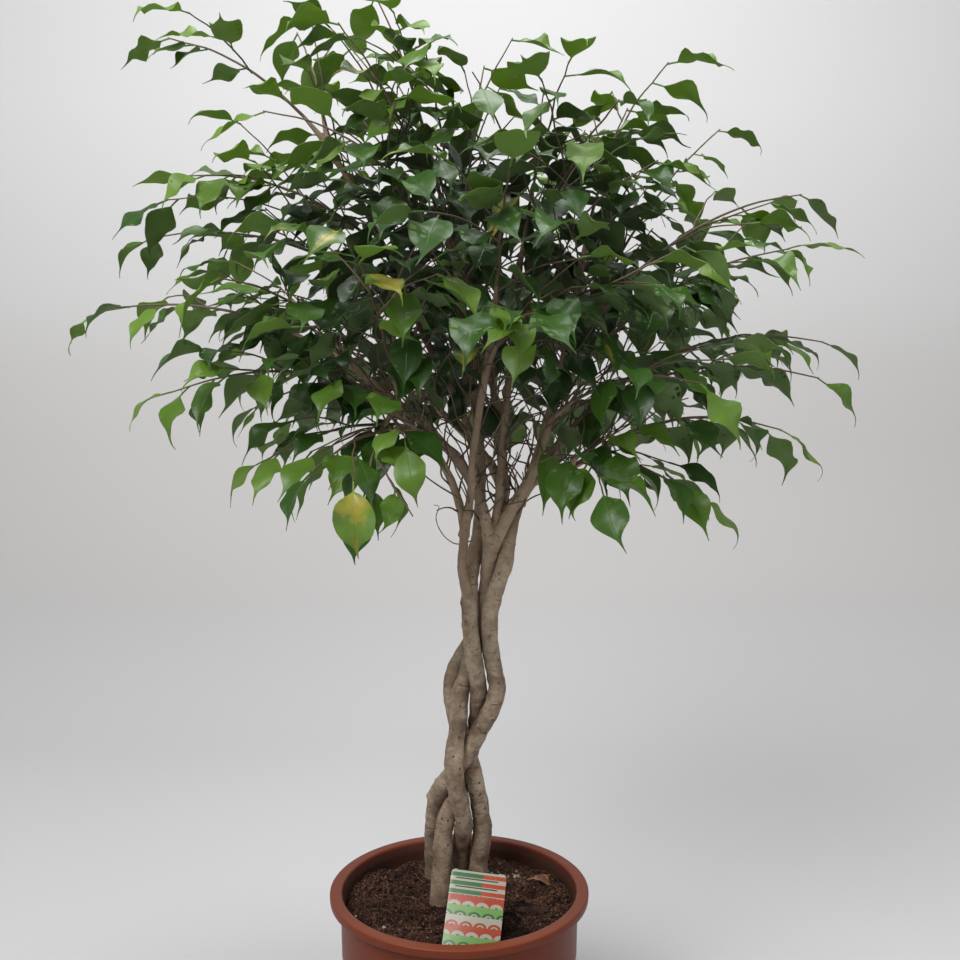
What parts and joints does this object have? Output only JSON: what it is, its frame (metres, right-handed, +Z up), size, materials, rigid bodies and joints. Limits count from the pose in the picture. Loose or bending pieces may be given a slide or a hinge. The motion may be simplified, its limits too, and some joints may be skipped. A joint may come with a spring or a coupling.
{
  "type": "potted weeping fig",
  "caption": "Weeping fig tree with plaited stems and an umbrella crown of glossy pointed leaves, standing in soil in a round plastic pot with a plant label.",
  "frame": {"origin": "middle of the pot's flat underside", "axes": "+Z up, along the tree's height; the front with the plant label faces -Y; +X to the right seen from the front"},
  "size_m": [0.7317, 0.5599, 1.0305],
  "materials": {
    "pot_plastic": "terracotta-brown moulded plastic with a soft sheen",
    "potting_soil": "dark crumbly peat with fibres and bits of bark",
    "label_plastic": "printed plastic card in green, orange-red and white",
    "bark": "grey-brown bark with knots and fine cross wrinkles",
    "foliage": "waxy dark green leaves with a pale midrib, on thin brown twigs"
  },
  "bodies": {
    "root": {"plant_label": "label_plastic", "pot": "pot_plastic", "soil": "potting_soil", "spray_back_1": "foliage", "spray_back_2": "foliage", "spray_back_3": "foliage", "spray_back_4": "foliage", "spray_back_5": "foliage", "spray_back_6": "foliage", "spray_front_1": "foliage", "spray_front_10": "foliage", "spray_front_11": "foliage", "spray_front_2": "foliage", "spray_front_3": "foliage", "spray_front_4": "foliage", "spray_front_5": "foliage", "spray_front_6": "foliage", "spray_front_7": "foliage", "spray_front_8": "foliage", "spray_front_9": "foliage", "spray_left_1": "foliage", "spray_left_2": "foliage", "spray_left_3": "foliage", "spray_left_4": "foliage", "spray_left_5": "foliage", "spray_left_6": "foliage", "spray_left_7": "foliage", "spray_left_8": "foliage", "spray_right_1": "foliage", "spray_right_2": "foliage", "spray_right_3": "foliage", "spray_right_4": "foliage", "spray_right_5": "foliage", "spray_right_6": "foliage", "spray_right_7": "foliage", "spray_right_8": "foliage", "spray_top_1": "foliage", "spray_top_10": "foliage", "spray_top_2": "foliage", "spray_top_3": "foliage", "spray_top_4": "foliage", "spray_top_5": "foliage", "spray_top_6": "foliage", "spray_top_7": "foliage", "spray_top_8": "foliage", "spray_top_9": "foliage", "stem_centre": "bark", "stem_front": "bark", "stem_left": "bark", "stem_right": "bark"}
  },
  "joints": []
}
